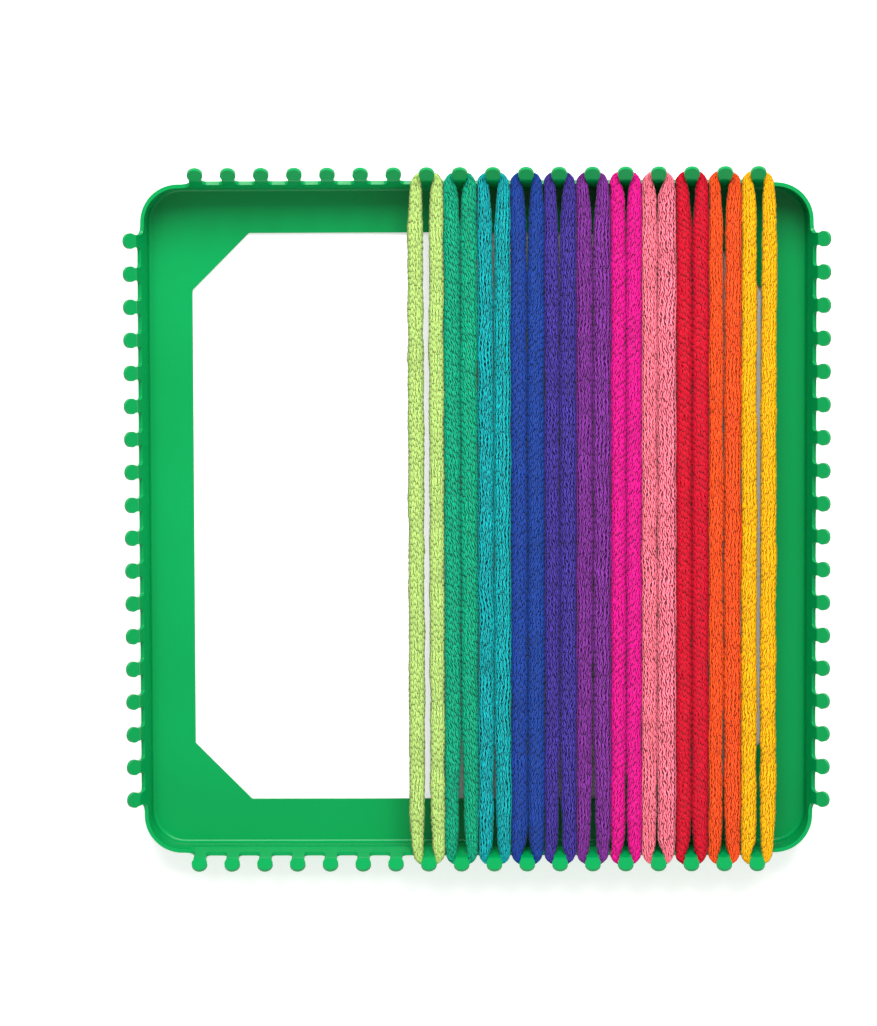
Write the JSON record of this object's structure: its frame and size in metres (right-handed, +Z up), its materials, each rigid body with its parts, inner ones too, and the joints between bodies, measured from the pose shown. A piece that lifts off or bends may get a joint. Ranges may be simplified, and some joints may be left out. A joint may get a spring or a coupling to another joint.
{
  "type": "potholder loom",
  "caption": "Square pressed-steel hand loom with hooked pegs round its rim and knitted cotton loops stretched from back to front, for weaving potholders.",
  "frame": {"origin": "centre of the loom's plan, on the surface it stands on", "axes": "+Z up out of the frame, +Y from the user towards the back row of pegs, along the loops, +X to the right"},
  "size_m": [0.186, 0.186, 0.0212],
  "materials": {
    "green_powder_coat": "glossy green powder coat on pressed sheet steel",
    "lime_knit": "matt lime cotton knit with a little stretch",
    "green_knit": "matt green cotton knit with a little stretch",
    "turquoise_knit": "matt turquoise cotton knit with a little stretch",
    "blue_knit": "matt blue cotton knit with a little stretch",
    "indigo_knit": "matt indigo cotton knit with a little stretch",
    "purple_knit": "matt purple cotton knit with a little stretch",
    "magenta_knit": "matt magenta cotton knit with a little stretch",
    "pink_knit": "matt pink cotton knit with a little stretch",
    "red_knit": "matt red cotton knit with a little stretch",
    "orange_knit": "matt orange cotton knit with a little stretch",
    "yellow_knit": "matt yellow cotton knit with a little stretch"
  },
  "bodies": {
    "frame": {"base_flange": "green_powder_coat", "back_wall": "green_powder_coat", "front_wall": "green_powder_coat", "left_wall": "green_powder_coat", "right_wall": "green_powder_coat", "wall_corners": "green_powder_coat", "back_pegs": "green_powder_coat", "front_pegs": "green_powder_coat", "left_pegs": "green_powder_coat", "right_pegs": "green_powder_coat"},
    "lime_loop": {"lime_loop": "lime_knit"},
    "green_loop": {"green_loop": "green_knit"},
    "turquoise_loop": {"turquoise_loop": "turquoise_knit"},
    "blue_loop": {"blue_loop": "blue_knit"},
    "indigo_loop": {"indigo_loop": "indigo_knit"},
    "purple_loop": {"purple_loop": "purple_knit"},
    "magenta_loop": {"magenta_loop": "magenta_knit"},
    "pink_loop": {"pink_loop": "pink_knit"},
    "red_loop": {"red_loop": "red_knit"},
    "orange_loop": {"orange_loop": "orange_knit"},
    "yellow_loop": {"yellow_loop": "yellow_knit"}
  },
  "joints": [
    {"name": "lime_lift", "type": "slide", "parent": "frame", "child": "lime_loop", "axis": [0, 0, 1], "range_m": [0, 0.025], "deforming": ["lime_loop"]},
    {"name": "green_lift", "type": "slide", "parent": "frame", "child": "green_loop", "axis": [0, 0, 1], "range_m": [0, 0.025], "deforming": ["green_loop"]},
    {"name": "turquoise_lift", "type": "slide", "parent": "frame", "child": "turquoise_loop", "axis": [0, 0, 1], "range_m": [0, 0.025], "deforming": ["turquoise_loop"]},
    {"name": "blue_lift", "type": "slide", "parent": "frame", "child": "blue_loop", "axis": [0, 0, 1], "range_m": [0, 0.025], "deforming": ["blue_loop"]},
    {"name": "indigo_lift", "type": "slide", "parent": "frame", "child": "indigo_loop", "axis": [0, 0, 1], "range_m": [0, 0.025], "deforming": ["indigo_loop"]},
    {"name": "purple_lift", "type": "slide", "parent": "frame", "child": "purple_loop", "axis": [0, 0, 1], "range_m": [0, 0.025], "deforming": ["purple_loop"]},
    {"name": "magenta_lift", "type": "slide", "parent": "frame", "child": "magenta_loop", "axis": [0, 0, 1], "range_m": [0, 0.025], "deforming": ["magenta_loop"]},
    {"name": "pink_lift", "type": "slide", "parent": "frame", "child": "pink_loop", "axis": [0, 0, 1], "range_m": [0, 0.025], "deforming": ["pink_loop"]},
    {"name": "red_lift", "type": "slide", "parent": "frame", "child": "red_loop", "axis": [0, 0, 1], "range_m": [0, 0.025], "deforming": ["red_loop"]},
    {"name": "orange_lift", "type": "slide", "parent": "frame", "child": "orange_loop", "axis": [0, 0, 1], "range_m": [0, 0.025], "deforming": ["orange_loop"]},
    {"name": "yellow_lift", "type": "slide", "parent": "frame", "child": "yellow_loop", "axis": [0, 0, 1], "range_m": [0, 0.025], "deforming": ["yellow_loop"]}
  ]
}
